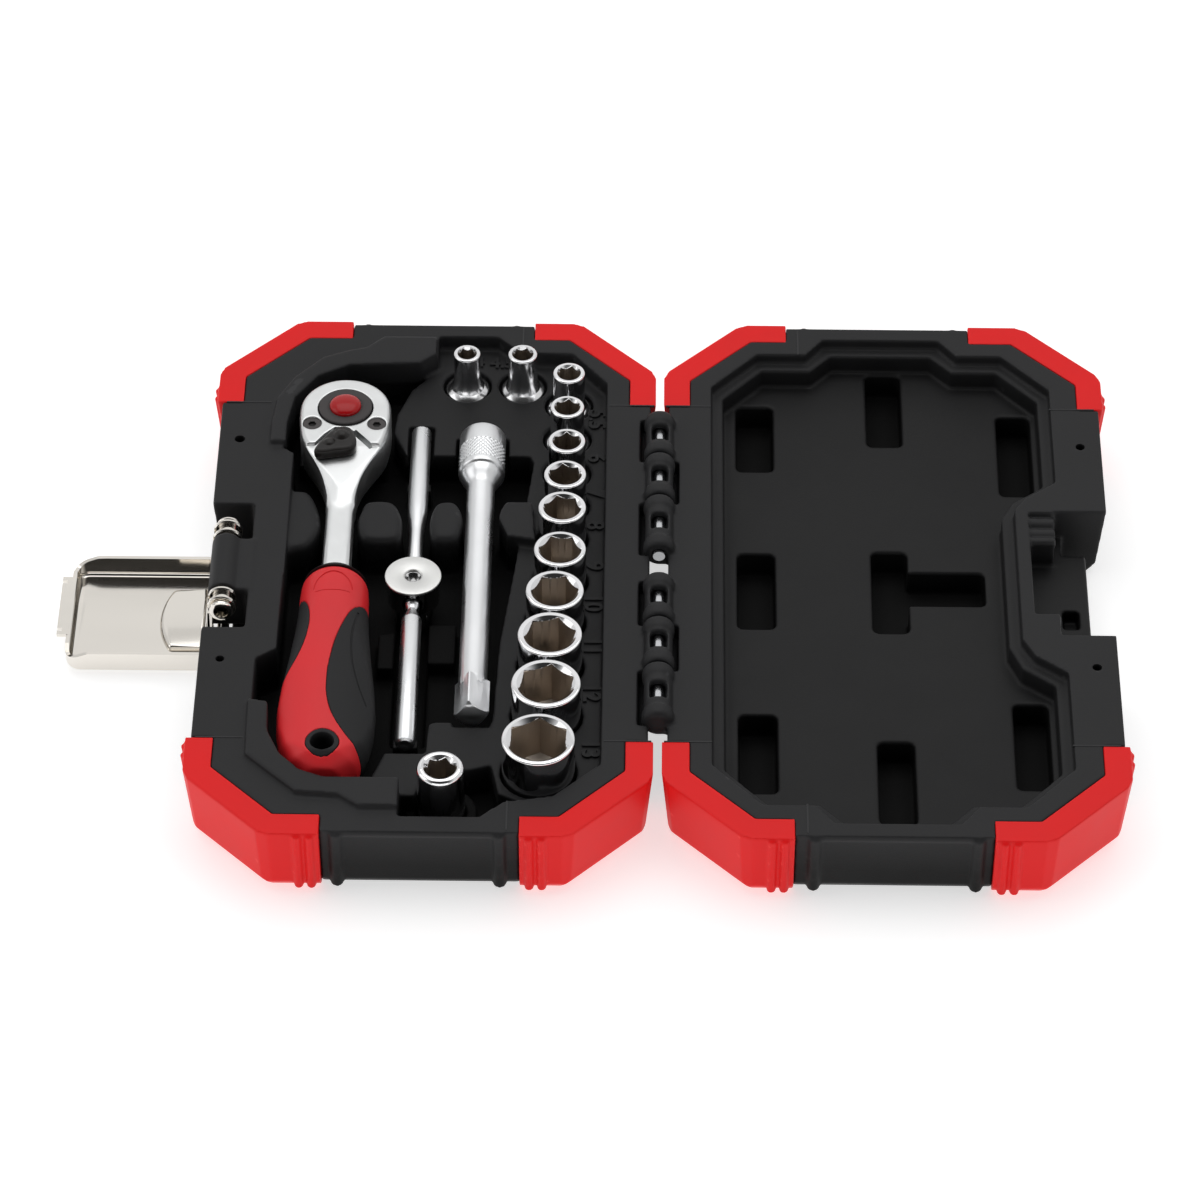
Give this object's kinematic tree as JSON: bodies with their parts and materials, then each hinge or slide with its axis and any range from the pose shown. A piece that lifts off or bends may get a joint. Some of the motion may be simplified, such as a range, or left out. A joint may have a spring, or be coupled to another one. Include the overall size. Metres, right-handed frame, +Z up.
{
  "type": "socket wrench set in case",
  "caption": "Hinged case with corner guards and a draw latch, open flat, holding a ratchet, a sliding T bar, an extension bar, upright drive sockets and a bit coupler in moulded seats.",
  "frame": {"origin": "middle of the flat underside of the base half, which is the half that holds the tools", "axes": "+X from the latch side across the hinge to the lid half, +Y to the back, +Z up"},
  "size_m": [0.2639, 0.1892, 0.0276],
  "materials": {
    "case_plastic": "matte, fine grain",
    "guard_plastic": "semi-gloss",
    "hinge_steel": "drawn wire",
    "latch_nickel": "bright nickel plate",
    "tool_chrome": "satin chrome",
    "socket_chrome": "polished chrome",
    "black_steel": "black oxide",
    "lever_black": "satin",
    "grip_red": "satin",
    "grip_rubber": "soft matte",
    "button_red": "gloss"
  },
  "bodies": {
    "base": {"base_shell": "case_plastic", "guard_base_rear_outer": "guard_plastic", "guard_base_rear_inner": "guard_plastic", "guard_base_front_outer": "guard_plastic", "guard_base_front_inner": "guard_plastic", "hinge_pin_rear": "hinge_steel", "hinge_pin_front": "hinge_steel", "latch_pin": "latch_nickel"},
    "lid": {"lid_shell": "case_plastic", "guard_lid_rear_outer": "guard_plastic", "guard_lid_rear_inner": "guard_plastic", "guard_lid_front_outer": "guard_plastic", "guard_lid_front_inner": "guard_plastic"},
    "latch_link": {"latch_link": "latch_nickel"},
    "latch_plate": {"latch_plate": "latch_nickel", "latch_plate_pin": "latch_nickel"},
    "ratchet": {"ratchet_body": "tool_chrome", "ratchet_screw_left": "black_steel", "ratchet_screw_right": "black_steel", "ratchet_handle": "grip_red", "grip_left": "grip_rubber", "grip_right": "grip_rubber", "handle_collar": "grip_rubber", "hang_ring": "grip_rubber"},
    "drive": {"drive_gear": "black_steel", "drive_square": "tool_chrome", "drive_ball": "hinge_steel"},
    "button": {"release_button": "button_red"},
    "reverser": {"reversing_lever": "lever_black"},
    "pawl": {"ratchet_pawl": "black_steel"},
    "t_bar": {"sliding_bar": "tool_chrome"},
    "t_slider": {"t_head": "tool_chrome", "t_head_ball": "hinge_steel"},
    "extension": {"extension_bar": "tool_chrome", "extension_ball": "hinge_steel"},
    "adapter": {"bit_adapter": "socket_chrome"},
    "socket_4": {"socket_4": "socket_chrome"},
    "socket_4_5": {"socket_4_5": "socket_chrome"},
    "socket_5": {"socket_5": "socket_chrome"},
    "socket_5_5": {"socket_5_5": "socket_chrome"},
    "socket_6": {"socket_6": "socket_chrome"},
    "socket_7": {"socket_7": "socket_chrome"},
    "socket_8": {"socket_8": "socket_chrome"},
    "socket_9": {"socket_9": "socket_chrome"},
    "socket_10": {"socket_10": "socket_chrome"},
    "socket_11": {"socket_11": "socket_chrome"},
    "socket_12": {"socket_12": "socket_chrome"},
    "socket_13": {"socket_13": "socket_chrome"}
  },
  "joints": [
    {"name": "lid_hinge", "type": "hinge", "parent": "base", "child": "lid", "pos_m": [0.0572, 0, 0.0211], "axis": [0, 1, 0], "range_deg": [-180, 0]},
    {"name": "latch_link_hinge", "type": "hinge", "parent": "base", "child": "latch_link", "pos_m": [-0.0505, 0, 0.0195], "axis": [0, 1, 0], "range_deg": [0, 12]},
    {"name": "latch_plate_hinge", "type": "hinge", "parent": "latch_link", "child": "latch_plate", "pos_m": [-0.0513, 0, 0.0046], "axis": [0, -1, 0], "range_deg": [-90, 0]},
    {"name": "ratchet_lift", "type": "slide", "parent": "base", "child": "ratchet", "axis": [0, 0, 1], "range_m": [0, 0.04]},
    {"name": "drive_spin", "type": "hinge", "parent": "ratchet", "child": "drive", "pos_m": [-0.023, 0.0555, 0.018], "axis": [0, 0, 1], "continuous": true},
    {"name": "button_press", "type": "slide", "parent": "drive", "child": "button", "axis": [0, 0, 1], "range_m": [-0.0015, 0], "stiffness_N_per_m": 300, "springref_m": 0.0005},
    {"name": "reversing_lever_hinge", "type": "hinge", "parent": "ratchet", "child": "reverser", "pos_m": [-0.0236, 0.0444, 0.024], "axis": [0, 0, 1], "range_deg": [0, 100]},
    {"name": "pawl_rock", "type": "hinge", "parent": "ratchet", "child": "pawl", "pos_m": [-0.0236, 0.0444, 0.018], "axis": [0, 0, 1], "range_deg": [0, 15]},
    {"name": "t_bar_lift", "type": "slide", "parent": "base", "child": "t_bar", "axis": [0, 0, 1], "range_m": [0, 0.03]},
    {"name": "t_head_slide", "type": "slide", "parent": "t_bar", "child": "t_slider", "axis": [0, 1, 0], "range_m": [-0.04, 0.003]},
    {"name": "extension_lift", "type": "slide", "parent": "base", "child": "extension", "axis": [0, 0, 1], "range_m": [0, 0.03]},
    {"name": "adapter_lift", "type": "slide", "parent": "base", "child": "adapter", "axis": [0, 0, 1], "range_m": [0, 0.03]},
    {"name": "socket_4_lift", "type": "slide", "parent": "base", "child": "socket_4", "axis": [0, 0, 1], "range_m": [0, 0.03]},
    {"name": "socket_4_5_lift", "type": "slide", "parent": "base", "child": "socket_4_5", "axis": [0, 0, 1], "range_m": [0, 0.03]},
    {"name": "socket_5_lift", "type": "slide", "parent": "base", "child": "socket_5", "axis": [0, 0, 1], "range_m": [0, 0.03]},
    {"name": "socket_5_5_lift", "type": "slide", "parent": "base", "child": "socket_5_5", "axis": [0, 0, 1], "range_m": [0, 0.03]},
    {"name": "socket_6_lift", "type": "slide", "parent": "base", "child": "socket_6", "axis": [0, 0, 1], "range_m": [0, 0.03]},
    {"name": "socket_7_lift", "type": "slide", "parent": "base", "child": "socket_7", "axis": [0, 0, 1], "range_m": [0, 0.03]},
    {"name": "socket_8_lift", "type": "slide", "parent": "base", "child": "socket_8", "axis": [0, 0, 1], "range_m": [0, 0.03]},
    {"name": "socket_9_lift", "type": "slide", "parent": "base", "child": "socket_9", "axis": [0, 0, 1], "range_m": [0, 0.03]},
    {"name": "socket_10_lift", "type": "slide", "parent": "base", "child": "socket_10", "axis": [0, 0, 1], "range_m": [0, 0.03]},
    {"name": "socket_11_lift", "type": "slide", "parent": "base", "child": "socket_11", "axis": [0, 0, 1], "range_m": [0, 0.03]},
    {"name": "socket_12_lift", "type": "slide", "parent": "base", "child": "socket_12", "axis": [0, 0, 1], "range_m": [0, 0.03]},
    {"name": "socket_13_lift", "type": "slide", "parent": "base", "child": "socket_13", "axis": [0, 0, 1], "range_m": [0, 0.03]}
  ],
  "couplings": [
    {"joint": "pawl_rock", "follows": "reversing_lever_hinge", "ratio": 0.15}
  ]
}
